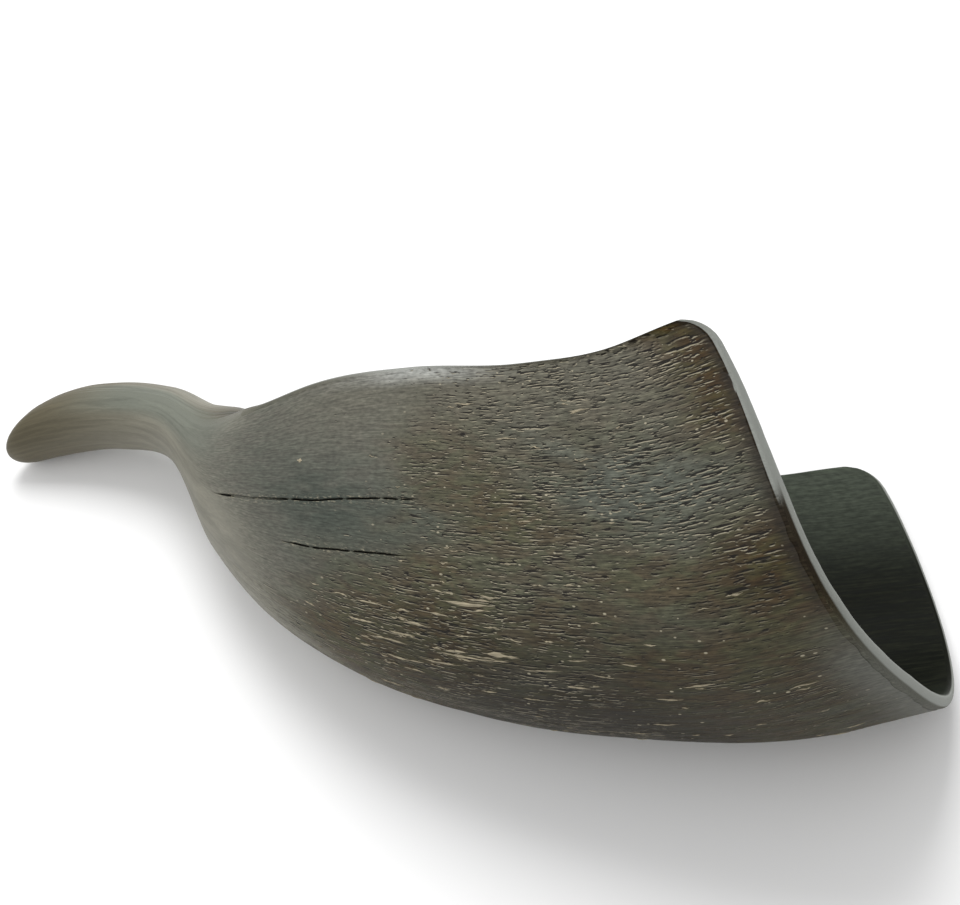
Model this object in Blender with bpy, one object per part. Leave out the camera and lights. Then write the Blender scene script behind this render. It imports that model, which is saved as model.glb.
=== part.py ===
"""A scoop carved from one horn: the solid tip is a curled handle, and the hollow part is a deep open bowl."""

import math

import bpy
import numpy as np

# The scoop's own frame, in metres: X runs along the horn to the mouth, Y to the far side, and Z out of the
# opening. X = 0 is where the hollow begins, and BOWL_LENGTH is where the two ears of the mouth stand.
TIP_X = -0.0637
TIP_ROUNDING = 0.0080
BOWL_LENGTH = 0.1388
LIP_REACH = 0.0353
LIP_SPREAD = 0.79
LIP_POINT = 0.04
LIP_POINT_SHARPNESS = 10.0
REACH_GROWTH = 1.19
EAR_ROUNDING = 0.0042
EARS_FROM = 0.7
TIP_BLUNTNESS = 2.4
SIDE_FULLNESS = 0.5
TOP_SPREAD = 0.85
RIM_TURNS = (30.0, 58.0, 80.0)
FLATTEST_BULGE = 0.2
SHEATH_BULGE = 0.3

# The wall, in metres.
SIDE_WALL = 0.0022
FLOOR_WALL = 0.0028
NECK_FLOOR = 0.0090
NECK_END = 0.060
LEAST_INNER_DEPTH = 0.001
HOLLOW_START = -0.004
HOLLOW_FULL = 0.030

# The layers, in metres: where the solid tip gives way to them, and the bare band that the inner one shows at
# its edges.
SEAM_X = 0.012
LAYER_GAP = 0.0003
OUTER_LAYER = 0.0010
BARE_BAND = 0.0030
BARE_STEP = 0.0012
EAR_LINE = 0.0010

# How finely each piece is divided.
ACROSS = 24
ALONG = 20
ALONG_TIP = 18
EDGE_STEPS = 3
OUTLINE_STEPS = 241
FLOOR_CROWDING = 0.5
CAP_RINGS = 5
CAP_START = 0.12
SHARP_ANGLE = math.radians(40.0)

# How the scoop rests: it lies on its far side, where it balances, with the opening turned away and the tip
# just clear of the floor. A small worn flat holds it there.
REST_ROLL = math.radians(-79.0)
REST_PITCH = math.radians(-11.3)
FLAT_DEPTH = 0.00075
CUTTER_SIZE = 0.5

# Lines of the horn, one row per station along X: height of the section's centre, lean of the section in
# degrees, half width, depth below the centre, rise above it, angle of the cut edge in degrees, and how square
# the floor is, from 1 for round down to 0.
STATIONS = (
    (-0.0637, 0.0003, 36.0, 0.0080, 0.0080, 0.0080, 105.0, 1.00),
    (-0.0520, 0.0045, 22.0, 0.0085, 0.0083, 0.0083, 105.0, 1.00),
    (-0.0340, 0.0065, 4.0, 0.0085, 0.0078, 0.0080, 105.0, 1.00),
    (-0.0180, 0.0045, -6.0, 0.0090, 0.0096, 0.0084, 105.0, 1.00),
    (0.0000, -0.0050, -3.0, 0.0130, 0.0225, 0.0132, 105.0, 0.95),
    (0.0145, -0.0075, 0.0, 0.0180, 0.0335, 0.0270, 103.0, 0.85),
    (0.0350, -0.0085, 0.0, 0.0235, 0.0455, 0.0420, 100.0, 0.70),
    (0.0630, -0.0085, 0.0, 0.0290, 0.0545, 0.0470, 97.0, 0.60),
    (0.0910, -0.0065, 0.0, 0.0330, 0.0592, 0.0330, 97.0, 0.57),
    (0.1190, -0.0022, 0.0, 0.0402, 0.0609, 0.0170, 97.4, 0.51),
    (0.1388, 0.0018, 0.0, 0.0447, 0.0570, 0.0167, 97.3, 0.50),
)


def smooth_step(x, start, end):
    """0 before start, 1 after end, and a smooth rise between."""
    u = np.clip((x - start) / (end - start), 0.0, 1.0)
    return u * u * (3.0 - 2.0 * u)


def faired(xs, ys, x):
    """A smooth curve through the station values."""
    run = np.diff(xs)
    rise = np.diff(ys) / run
    inner = (rise[1:] * run[:-1] + rise[:-1] * run[1:]) / (run[1:] + run[:-1])
    slope = np.concatenate(([rise[0]], inner, [rise[-1]]))
    i = np.clip(np.searchsorted(xs, x) - 1, 0, len(run) - 1)
    u = (x - xs[i]) / run[i]
    rest = 1.0 - u
    ends = ys[i] * (1.0 + 2.0 * u) * rest**2 + ys[i + 1] * (3.0 - 2.0 * u) * u**2
    return ends + run[i] * u * rest * (slope[i] * rest - slope[i + 1] * u)


def lines_at(x):
    """Every station value at x, in the order of STATIONS, with the angles in radians."""
    table = np.array(STATIONS)
    height, lean, half, depth, rise, edge, square = (
        faired(table[:, 0], column, x) for column in table[:, 1:].T
    )
    return height, np.radians(lean), half, depth, rise, np.radians(edge), square


def power(value, exponent):
    return np.sign(value) * np.abs(value) ** exponent


def wall_offsets(angle, half, depth, rise, square):
    """Offsets from the section's centre: angle 0 is the floor and a right angle is the widest place."""
    down = np.cos(angle)
    y = -half * power(np.sin(angle), 1.0 - SIDE_FULLNESS * (1.0 - square))
    return y, -np.where(down > 0.0, depth, rise) * power(down, square)


def even_angles(x, v):
    """The angle at v, with equal steps of v as equal steps along the outline, and the outline's half length."""
    _, _, half, depth, rise, edge, square = (np.asarray(value)[..., None] for value in lines_at(x))
    fine = np.linspace(0.0, 1.0, OUTLINE_STEPS) ** FLOOR_CROWDING * edge
    y, z = wall_offsets(fine, half, depth, rise, square)
    steps = np.hypot(np.diff(y), np.diff(z))
    length = np.concatenate((np.zeros_like(steps[..., :1]), np.cumsum(steps, -1)), -1)
    flat = (array.reshape(-1, fine.shape[-1]) for array in (length, fine))
    target = (np.abs(v) * length[..., -1]).ravel()
    angle = [np.interp(at, row, angles) for at, row, angles in zip(target, *flat)]
    return np.sign(v) * np.reshape(angle, np.shape(v)), length[..., -1]


def forward_reach(x, v, low, half_length):
    """How far a point leans forward: not at all at the cut edge, fully at the lip, and back at the rounded ears.

    low is how far down the section the point is, from 0 at the cut edge to 1 at the floor."""
    along = np.clip(x / BOWL_LENGTH, 0.0, 1.0)
    share = (1.0 - LIP_POINT) * low**LIP_SPREAD + LIP_POINT * low**LIP_POINT_SHARPNESS
    into_ear = np.clip(1.0 - (1.0 - np.abs(v)) * half_length / EAR_ROUNDING, 0.0, 1.0)
    ear = EAR_ROUNDING * (1.0 - np.sqrt(1.0 - into_ear**2))
    return LIP_REACH * along**REACH_GROWTH * share - ear * smooth_step(along, EARS_FROM, 1.0)


def placed(x, forward, y, z):
    """The point of the section at x with these offsets from its centre, in the scoop's own frame."""
    height, lean = lines_at(x)[:2]
    into_tip = np.clip((TIP_X + TIP_ROUNDING - x) / TIP_ROUNDING, 0.0, 1.0)
    blunt = (1.0 - into_tip**TIP_BLUNTNESS) ** (1.0 / TIP_BLUNTNESS)
    y, z = y * blunt, z * blunt
    return np.stack((x + forward + z * np.sin(lean), y, height + z * np.cos(lean)), -1)


def horn_points(x, v):
    """The outside of the horn, and the surface that faces it: the top of the tip, or the hollow.

    v is -1 at the far cut edge, 0 at the belly and 1 at the near cut edge."""
    _, _, half, depth, rise, edge, square = lines_at(x)
    angle, half_length = even_angles(x, v)
    y, z = wall_offsets(angle, half, depth, rise, square)
    cut_edge = -rise * power(np.cos(edge), square)
    low = np.clip((cut_edge - z) / (cut_edge + depth), 0.0, 1.0)
    forward = forward_reach(x, v, low, half_length)
    outside = placed(x, forward, y, z)

    over = math.pi - v * (math.pi - edge) * TOP_SPREAD
    top = placed(x, forward, -half * np.sin(over), -rise * np.cos(over))

    floor_wall = FLOOR_WALL + NECK_FLOOR * (1.0 - smooth_step(x, 0.0, NECK_END))
    inner_depth = np.maximum(depth - floor_wall, LEAST_INNER_DEPTH)
    hollow = placed(x, forward, *wall_offsets(angle, half - SIDE_WALL, inner_depth, rise, square))
    share = smooth_step(x, HOLLOW_START, HOLLOW_FULL)[..., None]
    return outside, top * (1.0 - share) + hollow * share


def between(outside, inside, depth):
    """The points this deep under the outside, on the way to the inside."""
    way = inside - outside
    return outside + way * (depth / np.linalg.norm(way, axis=-1))[..., None]


def direction(start, end):
    way = end - start
    return way / np.linalg.norm(way, axis=-1, keepdims=True)


def rounded_edge(start, end, outward, bulge):
    """Points of a half circle from start to end, bulging along outward. A bulge of 0 leaves a straight line."""
    middle, arm = (start + end) / 2.0, (start - end) / 2.0
    reach = np.linalg.norm(arm, axis=-1, keepdims=True) * np.asarray(bulge)[..., None]
    turns = np.linspace(0.0, math.pi, EDGE_STEPS + 2)[1:-1]
    points = [middle + arm * math.cos(turn) + outward * reach * math.sin(turn) for turn in turns]
    return np.stack(points, axis=1)


def rings_between(outer, inner, bulge):
    """Closed rings from two facing grids, each starting at the middle of its rounded far edge."""
    near = rounded_edge(outer[:, -1], inner[:, -1], direction(outer[:, -2], outer[:, -1]), bulge)
    far = rounded_edge(inner[:, 0], outer[:, 0], direction(outer[:, 1], outer[:, 0]), bulge)
    middle = EDGE_STEPS // 2
    return np.concatenate([far[:, middle:], outer, near, inner[:, ::-1], far[:, :middle]], axis=1)


def edge_bulge(x):
    """Nearly flat on the solid tip, and a full half circle on the cut edge of the bowl."""
    return FLATTEST_BULGE + (1.0 - FLATTEST_BULGE) * smooth_step(x, HOLLOW_START, HOLLOW_FULL)


def ring_faces(count, around):
    """Faces between neighbouring rings, and a strip across the first and the last ring."""
    faces = []
    for ring in range(count - 1):
        here, there = ring * around, (ring + 1) * around
        for i in range(around):
            j = (i + 1) % around
            faces.append((here + i, there + i, there + j, here + j))
    last = (count - 1) * around
    for i in range(around // 2):
        strip = list(dict.fromkeys((i, i + 1, around - 1 - i, (around - i) % around)))
        faces.append(tuple(strip))
        faces.append(tuple(last + k for k in strip[::-1]))
    return faces


def lofted(name, rings, material, collection, parent):
    """A closed solid through rings of equal count."""
    count, around = rings.shape[:2]
    mesh = bpy.data.meshes.new(name)
    mesh.from_pydata(rings.reshape(-1, 3).tolist(), [], ring_faces(count, around))
    mesh.materials.append(material)
    mesh.shade_smooth()
    mesh.set_sharp_from_angle(angle=SHARP_ANGLE)
    solid = bpy.data.objects.new(name, mesh)
    solid.parent = parent
    collection.objects.link(solid)
    return solid


def horn_material(name, colour, roughness):
    material = bpy.data.materials.new(name)
    material.use_nodes = True
    shader = material.node_tree.nodes["Principled BSDF"]
    shader.inputs["Base Color"].default_value = (*colour, 1.0)
    shader.inputs["Roughness"].default_value = roughness
    shader.inputs["Metallic"].default_value = 0.0
    return material


def across_lines(x, from_edge):
    """v for each x: lines at these distances from both cut edges, and even lines between them."""
    _, half_length = even_angles(x, np.zeros_like(x))
    near = 1.0 - np.asarray(from_edge)[:, None] / half_length
    covered = 1.0 - (BARE_BAND + BARE_STEP) / half_length
    even = [share * covered for share in np.linspace(-1.0, 1.0, ACROSS)[1:-1]]
    return np.stack([*(-near), *even, *near[::-1]], axis=-1)


def tip_handle(collection, parent):
    """The solid tip, with the neck that its top dips from into the hollow."""
    cap = TIP_X + TIP_ROUNDING * (1.0 - np.cos(np.linspace(CAP_START, 1.0, CAP_RINGS) * math.pi / 2.0))
    x = np.concatenate((cap, np.linspace(TIP_X + TIP_ROUNDING, SEAM_X, ALONG_TIP)[1:]))
    v = across_lines(x, [0.0])
    outside, top = horn_points(np.repeat(x[:, None], v.shape[1], 1), v)
    material = horn_material("scraped_horn", (0.16, 0.155, 0.12), 0.45)
    return lofted("tip_handle", rings_between(outside, top, edge_bulge(x)), material, collection, parent)


def outer_sheath(collection, parent):
    """The rough outer growth layers, which stop short of every edge."""
    band = BARE_BAND + BARE_STEP + LAYER_GAP
    x = np.linspace(SEAM_X + LAYER_GAP, BOWL_LENGTH - band, ALONG)
    v = across_lines(x, [band])
    outside, inside = horn_points(np.repeat(x[:, None], v.shape[1], 1), v)
    rings = rings_between(outside, between(outside, inside, OUTER_LAYER), np.full(len(x), SHEATH_BULGE))
    material = horn_material("weathered_horn", (0.075, 0.065, 0.045), 0.6)
    return lofted("outer_sheath", rings, material, collection, parent)


def inner_sheath(collection, parent):
    """The dark inner growth layers, which line the bowl and come to the surface in a bare band along its edges."""
    band = BARE_BAND + BARE_STEP
    x = np.append(np.linspace(SEAM_X + LAYER_GAP, BOWL_LENGTH - band - LAYER_GAP, ALONG), BOWL_LENGTH)
    x = np.insert(x, -1, (BOWL_LENGTH - band, BOWL_LENGTH - BARE_BAND))
    v = across_lines(x, [0.0, EAR_LINE, BARE_BAND, band])
    grid_x = np.repeat(x[:, None], v.shape[1], 1)
    outside, inside = horn_points(grid_x, v)
    _, half_length = even_angles(x, np.zeros_like(x))
    from_edge = np.minimum((1.0 - np.abs(v)) * half_length[:, None], BOWL_LENGTH - grid_x)
    cover = np.clip((from_edge - BARE_BAND) / BARE_STEP, 0.0, 1.0)
    outer = between(outside, inside, (OUTER_LAYER + LAYER_GAP) * cover)
    rings = rings_between(outer, inside, edge_bulge(x))
    rings = np.concatenate((rings, rounded_rim(rings)))
    material = horn_material("dark_horn", (0.02, 0.021, 0.016), 0.45)
    return lofted("inner_sheath", rings, material, collection, parent)


def rounded_rim(rings):
    """Rings that round the mouth off: each one narrower than the last and farther forward."""
    last = rings[-1]
    forward = direction(rings[-2], last)
    facing = np.roll(last[::-1], 1, axis=0)
    middle, arm = (last + facing) / 2.0, (last - facing) / 2.0
    forward = forward + np.roll(forward[::-1], 1, axis=0)
    forward /= np.linalg.norm(forward, axis=-1, keepdims=True)
    reach = np.linalg.norm(arm, axis=-1, keepdims=True)
    turns = np.radians(RIM_TURNS)
    return np.stack([middle + arm * math.cos(turn) + forward * reach * math.sin(turn) for turn in turns])


def rest_flat_cutter(stand, sheath, collection):
    """A block under the floor plane, which leaves the worn flat. The stand sinks the sheath into it a little."""
    stand.rotation_euler = (REST_ROLL, REST_PITCH, 0.0)
    turn = np.array(stand.rotation_euler.to_matrix())
    points = np.array([vertex.co[:] for vertex in sheath.data.vertices]) @ turn.T
    lowest = points[np.argmin(points[:, 2])]
    stand.location = (-lowest[0], -lowest[1], -lowest[2] - FLAT_DEPTH)
    bpy.ops.mesh.primitive_cube_add(size=CUTTER_SIZE, location=(0.0, 0.0, -CUTTER_SIZE / 2.0))
    cutter = bpy.context.active_object
    cutter.name = "rest_flat_cutter"
    cutter.hide_render = True
    cutter.display_type = "WIRE"
    for owner in list(cutter.users_collection):
        owner.objects.unlink(cutter)
    collection.objects.link(cutter)
    return cutter


def build():
    for old in list(bpy.data.objects):
        bpy.data.objects.remove(old)
    scoop = bpy.data.collections.new("horn_scoop")
    cutters = bpy.data.collections.new("cutters")
    for collection in (scoop, cutters):
        bpy.context.scene.collection.children.link(collection)
    stand = bpy.data.objects.new("resting_pose", None)
    scoop.objects.link(stand)
    tip_handle(scoop, stand)
    inner_sheath(scoop, stand)
    sheath = outer_sheath(scoop, stand)
    flat = sheath.modifiers.new("rest_flat", "BOOLEAN")
    flat.object = rest_flat_cutter(stand, sheath, cutters)
    flat.operation = "DIFFERENCE"
    flat.solver = "EXACT"


build()
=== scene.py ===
"""The carved horn scoop: weathered surfaces, materials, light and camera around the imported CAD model."""

import functools
import math

import bpy
import numpy as np
from mathutils import Euler, Matrix, Vector


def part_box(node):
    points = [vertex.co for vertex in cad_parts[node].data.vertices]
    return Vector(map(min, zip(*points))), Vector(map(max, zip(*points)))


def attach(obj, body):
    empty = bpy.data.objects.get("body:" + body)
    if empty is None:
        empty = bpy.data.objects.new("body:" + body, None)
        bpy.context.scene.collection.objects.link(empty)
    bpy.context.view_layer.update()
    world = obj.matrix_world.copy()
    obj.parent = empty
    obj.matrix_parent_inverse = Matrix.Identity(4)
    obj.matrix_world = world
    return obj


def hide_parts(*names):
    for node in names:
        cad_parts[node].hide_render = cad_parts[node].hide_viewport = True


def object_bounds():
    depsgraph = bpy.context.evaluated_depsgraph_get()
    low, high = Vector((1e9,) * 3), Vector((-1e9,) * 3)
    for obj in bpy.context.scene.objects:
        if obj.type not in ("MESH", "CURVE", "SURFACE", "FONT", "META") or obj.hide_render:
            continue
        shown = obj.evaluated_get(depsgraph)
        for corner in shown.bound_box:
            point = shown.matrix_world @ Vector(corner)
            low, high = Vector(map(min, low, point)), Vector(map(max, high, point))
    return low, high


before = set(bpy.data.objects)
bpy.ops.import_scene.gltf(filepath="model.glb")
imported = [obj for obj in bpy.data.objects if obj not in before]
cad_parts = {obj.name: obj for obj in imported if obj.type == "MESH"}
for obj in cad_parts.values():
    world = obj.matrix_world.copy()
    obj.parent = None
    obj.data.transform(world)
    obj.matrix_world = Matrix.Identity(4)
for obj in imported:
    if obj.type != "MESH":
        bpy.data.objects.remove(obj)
CAD_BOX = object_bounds()

# ----------------------------------------------------------------------------
# The horn's lines, as the CAD has them. The scoop's own frame, in metres: X runs along the horn to
# the mouth, Y to the far side, and Z out of the opening. X = 0 is where the hollow begins.

TIP_X = -0.0637
TIP_ROUNDING = 0.0080
BOWL_LENGTH = 0.1388
LIP_REACH = 0.0353
LIP_SPREAD = 0.79
LIP_POINT = 0.04
LIP_POINT_SHARPNESS = 10.0
REACH_GROWTH = 1.19
EAR_ROUNDING = 0.0042
EARS_FROM = 0.7
TIP_BLUNTNESS = 2.4
SIDE_FULLNESS = 0.5
TOP_SPREAD = 0.85
FLATTEST_BULGE = 0.2
SIDE_WALL = 0.0022
FLOOR_WALL = 0.0028
NECK_FLOOR = 0.0090
HOLLOW_START = -0.004
HOLLOW_FULL = 0.030
SEAM_X = 0.012
NECK_END = 0.06
LEAST_INNER_DEPTH = 0.001
OUTLINE_STEPS = 481
WIDEST_SHARE = 0.88
REST_ROLL = math.radians(-79.0)
REST_PITCH = math.radians(-11.3)

# One row per station along X: height of the section's centre, lean of the section in degrees, half
# width, depth below the centre, rise above it, angle of the cut edge in degrees, and how square the
# floor is.
STATIONS = (
    (-0.0637, 0.0003, 36.0, 0.0080, 0.0080, 0.0080, 105.0, 1.00),
    (-0.0520, 0.0045, 22.0, 0.0085, 0.0083, 0.0083, 105.0, 1.00),
    (-0.0340, 0.0065, 4.0, 0.0085, 0.0078, 0.0080, 105.0, 1.00),
    (-0.0180, 0.0045, -6.0, 0.0090, 0.0096, 0.0084, 105.0, 1.00),
    (0.0000, -0.0050, -3.0, 0.0130, 0.0225, 0.0132, 105.0, 0.95),
    (0.0145, -0.0075, 0.0, 0.0180, 0.0335, 0.0270, 103.0, 0.85),
    (0.0350, -0.0085, 0.0, 0.0235, 0.0455, 0.0420, 100.0, 0.70),
    (0.0630, -0.0085, 0.0, 0.0290, 0.0545, 0.0470, 97.0, 0.60),
    (0.0910, -0.0065, 0.0, 0.0330, 0.0592, 0.0330, 97.0, 0.57),
    (0.1190, -0.0022, 0.0, 0.0402, 0.0609, 0.0170, 97.4, 0.51),
    (0.1388, 0.0018, 0.0, 0.0447, 0.0570, 0.0167, 97.3, 0.50),
)


def smooth_step(x, start, end):
    """0 before start, 1 after end, and a smooth rise between."""
    u = np.clip((x - start) / (end - start), 0.0, 1.0)
    return u * u * (3.0 - 2.0 * u)


def hump(x, middle, spread):
    """1 at the middle, and smoothly down to nothing on both sides of it."""
    return np.exp(-(((x - middle) / spread) ** 2))


def faired(xs, ys, x):
    """A smooth curve through the station values."""
    run = np.diff(xs)
    rise = np.diff(ys) / run
    inner = (rise[1:] * run[:-1] + rise[:-1] * run[1:]) / (run[1:] + run[:-1])
    slope = np.concatenate(([rise[0]], inner, [rise[-1]]))
    i = np.clip(np.searchsorted(xs, x) - 1, 0, len(run) - 1)
    u = (x - xs[i]) / run[i]
    rest = 1.0 - u
    ends = ys[i] * (1.0 + 2.0 * u) * rest**2 + ys[i + 1] * (3.0 - 2.0 * u) * u**2
    return ends + run[i] * u * rest * (slope[i] * rest - slope[i + 1] * u)


def lines_at(x):
    """Every station value at x, in the order of STATIONS, with the angles in radians."""
    table = np.array(STATIONS)
    height, lean, half, depth, rise, edge, square = (
        faired(table[:, 0], column, x) for column in table[:, 1:].T
    )
    return height, np.radians(lean), half, depth, rise, np.radians(edge), square


def power(value, exponent):
    return np.sign(value) * np.abs(value) ** exponent


def wall_offsets(angle, half, depth, rise, square):
    """Offsets from the section's centre: angle 0 is the floor and a right angle is the widest place."""
    down = np.cos(angle)
    y = -half * power(np.sin(angle), 1.0 - SIDE_FULLNESS * (1.0 - square))
    return y, -np.where(down > 0.0, depth, rise) * power(down, square)


def outline(x):
    """Angles down one side of each section, and the length along its outline to each of them.

    The angles crowd together at the widest place, where the outline turns sharply."""
    _, _, half, depth, rise, edge, square = (value[:, None] for value in lines_at(x))
    share = np.linspace(0.0, 1.0, OUTLINE_STEPS)
    below = math.pi / 2.0 * (1.0 - np.clip(1.0 - share / WIDEST_SHARE, 0.0, 1.0) ** 2)
    above = np.clip((share - WIDEST_SHARE) / (1.0 - WIDEST_SHARE), 0.0, 1.0) ** 2
    angles = below + (edge - math.pi / 2.0) * above
    y, z = wall_offsets(angles, half, depth, rise, square)
    steps = np.hypot(np.diff(y), np.diff(z))
    return angles, np.concatenate((np.zeros((len(x), 1)), np.cumsum(steps, -1)), -1)


@functools.cache
def angle_table():
    """Stations, the angles at even steps along each one's outline, and each outline's half length."""
    stations = np.linspace(TIP_X, BOWL_LENGTH, 3 * OUTLINE_STEPS)
    angles, lengths = outline(stations)
    even = np.linspace(0.0, 1.0, OUTLINE_STEPS)
    rows = [np.interp(even * length[-1], length, row) for length, row in zip(lengths, angles)]
    return stations, np.array(rows), lengths[:, -1]


def even_angles(x, v):
    """The angle at v, where equal steps of v are equal lengths of outline, and the half length."""
    stations, table, half_lengths = angle_table()
    row = (np.asarray(x) - TIP_X) / (BOWL_LENGTH - TIP_X) * (len(stations) - 1)
    column = np.abs(v) * (OUTLINE_STEPS - 1)
    i = np.clip(row.astype(int), 0, len(stations) - 2)
    j = np.clip(column.astype(int), 0, OUTLINE_STEPS - 2)
    a, b = row - i, column - j
    low = table[i, j] * (1.0 - b) + table[i, j + 1] * b
    high = table[i + 1, j] * (1.0 - b) + table[i + 1, j + 1] * b
    return np.sign(v) * (low * (1.0 - a) + high * a), np.interp(x, stations, half_lengths)


def forward_reach(x, v, low, half_length):
    """How far a point leans forward: nothing at the cut edge, most at the lip, and back at the ears."""
    along = np.clip(x / BOWL_LENGTH, 0.0, 1.0)
    share = (1.0 - LIP_POINT) * low**LIP_SPREAD + LIP_POINT * low**LIP_POINT_SHARPNESS
    into_ear = np.clip(1.0 - (1.0 - np.abs(v)) * half_length / EAR_ROUNDING, 0.0, 1.0)
    ear = EAR_ROUNDING * (1.0 - np.sqrt(1.0 - into_ear**2))
    return LIP_REACH * along**REACH_GROWTH * share - ear * smooth_step(along, EARS_FROM, 1.0)


def placed(x, forward, y, z):
    """The point of the section at x with these offsets from its centre, in the scoop's own frame."""
    height, lean = lines_at(x)[:2]
    into_tip = np.clip((TIP_X + TIP_ROUNDING - x) / TIP_ROUNDING, 0.0, 1.0)
    blunt = (1.0 - into_tip**TIP_BLUNTNESS) ** (1.0 / TIP_BLUNTNESS)
    y, z = y * blunt, z * blunt
    return np.stack((x + forward + z * np.sin(lean), y, height + z * np.cos(lean)), -1)


def horn_points(x, v):
    """The outside of the horn, and the surface that faces it: the top of the tip, or the hollow.

    v is -1 at the far cut edge, 0 at the belly and 1 at the near cut edge."""
    _, _, half, depth, rise, edge, square = lines_at(x)
    angle, half_length = even_angles(x, v)
    y, z = wall_offsets(angle, half, depth, rise, square)
    cut_edge = -rise * power(np.cos(edge), square)
    low = np.clip((cut_edge - z) / (cut_edge + depth), 0.0, 1.0)
    forward = forward_reach(x, v, low, half_length)
    outside = placed(x, forward, y, z)

    over = math.pi - v * (math.pi - edge) * TOP_SPREAD
    top = placed(x, forward, -half * np.sin(over), -rise * np.cos(over))

    floor_wall = FLOOR_WALL + NECK_FLOOR * (1.0 - smooth_step(x, 0.0, NECK_END))
    inner_depth = np.maximum(depth - floor_wall, LEAST_INNER_DEPTH)
    hollow = placed(x, forward, *wall_offsets(angle, half - SIDE_WALL, inner_depth, rise, square))
    share = smooth_step(x, HOLLOW_START, HOLLOW_FULL)[..., None]
    return outside, top * (1.0 - share) + hollow * share


# ----------------------------------------------------------------------------
# Seeded noise on the horn's surface. Every pattern is drawn out along the fibres, which follow lines
# of constant v.

FIBRE_SPREAD = 0.100
NOISE_TABLE = 256


def noise(u, w, seed):
    """Smooth noise from -1 to 1 on a plane, one cell per unit."""
    table = np.random.default_rng(seed).uniform(-1.0, 1.0, (NOISE_TABLE, NOISE_TABLE))
    i, j = np.floor(u).astype(int), np.floor(w).astype(int)
    a, b = u - i, w - j
    a, b = a * a * (3.0 - 2.0 * a), b * b * (3.0 - 2.0 * b)
    i, j, i2, j2 = i % NOISE_TABLE, j % NOISE_TABLE, (i + 1) % NOISE_TABLE, (j + 1) % NOISE_TABLE
    low = table[i, j] * (1.0 - b) + table[i, j2] * b
    return low * (1.0 - a) + (table[i2, j] * (1.0 - b) + table[i2, j2] * b) * a


def fibre_noise(x, v, long, wide, seed, octaves=3):
    """Noise whose largest cells are long along the fibres and wide across them, in metres."""
    total, size = 0.0, 1.0
    for octave in range(octaves):
        total = total + noise(x / (long * size), v * FIBRE_SPREAD / (wide * size), seed + octave) * size
        size *= 0.5
    return total / 1.4


# ----------------------------------------------------------------------------
# Where each kind of surface is, and where light and shade are painted.

# How far along the horn the scraped part reaches, at each share of the way from belly to cut edge.
SMOOTH_UNTIL = ((0.0, 0.024), (0.25, 0.026), (0.5, 0.050), (0.65, 0.062), (0.8, 0.060), (1.0, 0.072))
# The same for the pale part that hands have worn.
PALE_UNTIL = ((0.0, 0.032), (0.2, 0.024), (0.45, 0.014), (0.6, 0.004), (0.8, -0.002), (1.0, 0.006))
# The share of the way at which the blue-grey part, partly the horn's own tone and partly a painted sheen,
# has its middle, and the spread of it.
BLUE_AT = ((0.012, 0.78), (0.035, 0.60), (0.058, 0.56), (0.085, 0.72), (0.118, 0.69), (0.142, 0.66))
BLUE_SPREAD = 0.17

# Where each kind of surface comes in or goes: ALONG the horn in metres, and ACROSS it in v. BEFORE
# and AFTER are distances from the limits above.
ROUGH_BEFORE, ROUGH_AFTER = 0.034, 0.028
SMOOTH_BEFORE, SMOOTH_AFTER = 0.016, 0.012
PALE_BEFORE, PALE_AFTER = 0.014, 0.015
TIP_ALONG = (-0.056, -0.012)
UPPER_ALONG, UPPER_END, UPPER_ACROSS = (-0.052, -0.026), (0.000, 0.014), (0.62, 0.86)
HOLLOW_ALONG = (-0.014, 0.027)
BLUE_ALONG = (0.004, 0.042)
# Painted light: a lighter band along the cut edges, where the upper sides catch the light.
TOP_ALONG, TOP_ACROSS = (0.010, 0.050), (0.68, 0.97)
# Painted shade: the belly is coloured darker, as the underside that faces away from the light.
BELLY_ALONG, BELLY_FADE, BELLY_ACROSS = (0.030, 0.075), (0.095, 0.120), (0.05, 0.50)
CALM_ALONG, CALM_ACROSS = (0.082, 0.104), (0.36, 0.60)
WARM_ALONG, WARM_ACROSS = (0.119, 0.136), (0.26, 0.46)
# The grey band outside the lip is partly the horn's grey and partly a painted highlight on the rounded lip.
LIP_ALONG, LIP_ACROSS = (0.1290, 0.1382), (0.14, 0.42)
# The worn patch on the cut edge is partly wear and partly a painted sheen. The patch in the notch is a
# painted highlight.
WEAR_AND_HIGHLIGHT_ACROSS, NOTCH_HIGHLIGHT_ACROSS = (0.945, 1.0), (-0.2, 0.4)
# Distances from the mouth, and the rim's own start along the horn.
LINE_BACK, LINE_ACROSS = (0.0008, 0.0042), (0.28, 0.46)
BARE_BACK, BARE_ACROSS = (0.0003, 0.0007), (0.5, 0.7)
RIM_ALONG = (0.004, 0.030)
# Middles and spreads of the patches and gaps that fade on both sides.
BLUE_GAP = (0.078, 0.020)
WARM_GAP = (0.655, 0.100)
# Worn patch, partly a painted sheen, and the painted highlight in the notch.
WEAR_AND_HIGHLIGHT_AT = (0.064, 0.017)
NOTCH_HIGHLIGHT_AT = (-0.004, 0.0080)

# The long drying cracks: how far along each one's points are, and at which v.
UPPER_CRACK = (
    (0.0050, 0.568), (0.0120, 0.590), (0.0210, 0.608), (0.0325, 0.616),
    (0.0460, 0.634), (0.0570, 0.645), (0.0650, 0.650),
)
CRACKS = (UPPER_CRACK, ((0.0275, 0.464), (0.0360, 0.474), (0.0465, 0.485), (0.0618, 0.500)))
CRACK_WIDTHS = (0.00030, 0.00027)
CRACK_DEPTHS = (0.00075, 0.00070)
CRACK_BREAKS = ((0.0188, 0.0300, 0.0450, 0.0545, 0.0590), (0.0362, 0.0468))
CRACK_SIDE = 0.0009
CRACK_TAPER = 0.006
BREAK_WIDTH = 0.0005


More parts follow.
